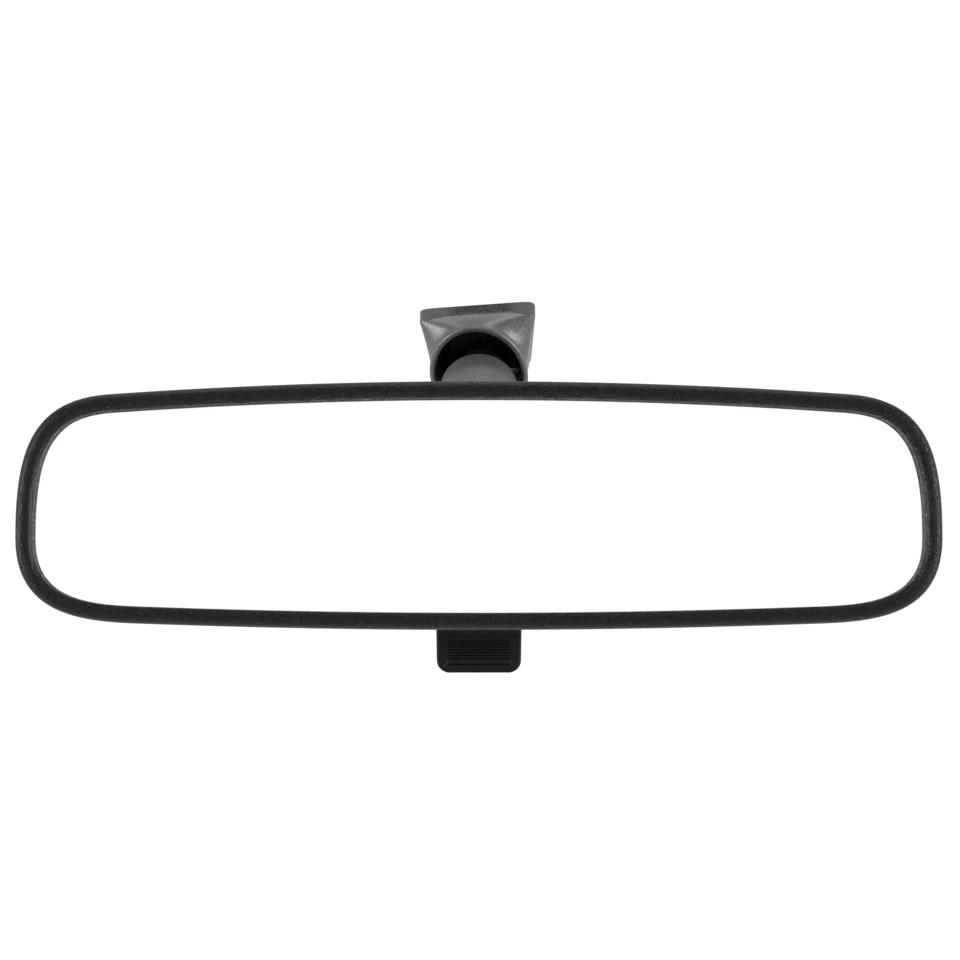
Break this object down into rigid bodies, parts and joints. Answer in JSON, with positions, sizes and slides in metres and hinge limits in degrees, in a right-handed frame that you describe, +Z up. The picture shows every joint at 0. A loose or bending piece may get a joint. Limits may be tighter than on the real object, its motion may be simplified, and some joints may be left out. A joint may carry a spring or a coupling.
{
  "type": "interior rearview mirror",
  "caption": "Day and night interior rearview mirror for a windscreen button mount, with a two-ball arm, a hinged head and a flip lever.",
  "frame": {"origin": "centre of the button's bonded face, where the mirror meets the windscreen", "axes": "+Z up, -Y towards the driver, +X along the head's width, to the right as the driver looks at the glass"},
  "size_m": [0.25, 0.0931, 0.1028],
  "materials": {
    "head_plastic": "fine moulded grain",
    "mount_plastic": "moulded grain",
    "arm_plastic": "satin moulded",
    "lever_plastic": "satin moulded, ribbed tab",
    "frame_plastic": "glass filled, matt",
    "acetal": "natural, self lubricating",
    "mirror_glass": "silvered prism glass",
    "black_film": "safety film",
    "pad_foam": "closed cell foam",
    "cast_metal": "die cast, black coated",
    "button_metal": "sintered, plain",
    "ball_steel": "plated",
    "spring_steel": "spring temper",
    "screw_steel": "zinc plated",
    "pin_steel": "ground"
  },
  "bodies": {
    "mount": {"mount_hood": "mount_plastic", "windscreen_button": "button_metal", "mount_base": "cast_metal", "button_clip": "spring_steel", "clip_rivet": "spring_steel", "upper_ball_stud": "ball_steel"},
    "upper_liner": {"upper_ball_liner": "acetal"},
    "arm": {"arm_sleeve": "arm_plastic", "sleeve_cap": "frame_plastic", "upper_cup": "acetal", "arm_spring": "spring_steel"},
    "lower_seat": {"lower_cup": "acetal"},
    "lower_liner": {"lower_ball_liner": "acetal"},
    "bracket": {"swing_bracket": "cast_metal", "lower_ball_stud": "ball_steel"},
    "head": {"rear_housing": "head_plastic", "front_bezel": "head_plastic", "prism_glass": "mirror_glass", "backing_film": "black_film", "lever_frame": "frame_plastic", "frame_screw_1": "screw_steel", "frame_screw_2": "screw_steel", "frame_screw_3": "screw_steel", "frame_screw_4": "screw_steel", "tilt_pin": "pin_steel", "lever_pin": "pin_steel", "detent_spring": "spring_steel", "glass_pad_1": "pad_foam", "glass_pad_2": "pad_foam", "glass_pad_3": "pad_foam", "glass_pad_4": "pad_foam"},
    "lever": {"flip_lever": "lever_plastic"}
  },
  "joints": [
    {"name": "arm_pitch", "type": "hinge", "parent": "mount", "child": "upper_liner", "pos_m": [-0.00068, -0.0155, -0.01882], "axis": [1, 0, 0], "range_deg": [-12, 12]},
    {"name": "arm_swing", "type": "hinge", "parent": "upper_liner", "child": "arm", "pos_m": [-0.00068, -0.0155, -0.01882], "axis": [0, -0.5, 0.866], "range_deg": [-15, 15]},
    {"name": "head_roll", "type": "hinge", "parent": "arm", "child": "lower_seat", "pos_m": [-0.00068, -0.0536, -0.04082], "axis": [0, 0.866, 0.5], "range_deg": [-15, 15]},
    {"name": "head_pitch", "type": "hinge", "parent": "lower_seat", "child": "lower_liner", "pos_m": [-0.00068, -0.0536, -0.04082], "axis": [1, 0, 0], "range_deg": [-14, 14]},
    {"name": "head_yaw", "type": "hinge", "parent": "lower_liner", "child": "bracket", "pos_m": [-0.00068, -0.0536, -0.04082], "axis": [0, 0, 1], "range_deg": [-20, 20]},
    {"name": "glare_tilt", "type": "hinge", "parent": "bracket", "child": "head", "pos_m": [-0.00068, -0.0661, -0.02467], "axis": [-1, 0, 0], "range_deg": [0, 4.5]},
    {"name": "lever_turn", "type": "hinge", "parent": "head", "child": "lever", "pos_m": [-0.00068, -0.0636, -0.06917], "axis": [-1, 0, 0], "range_deg": [0, 32]}
  ],
  "couplings": [
    {"joint": "lever_turn", "follows": "glare_tilt", "ratio": 7.1111}
  ]
}
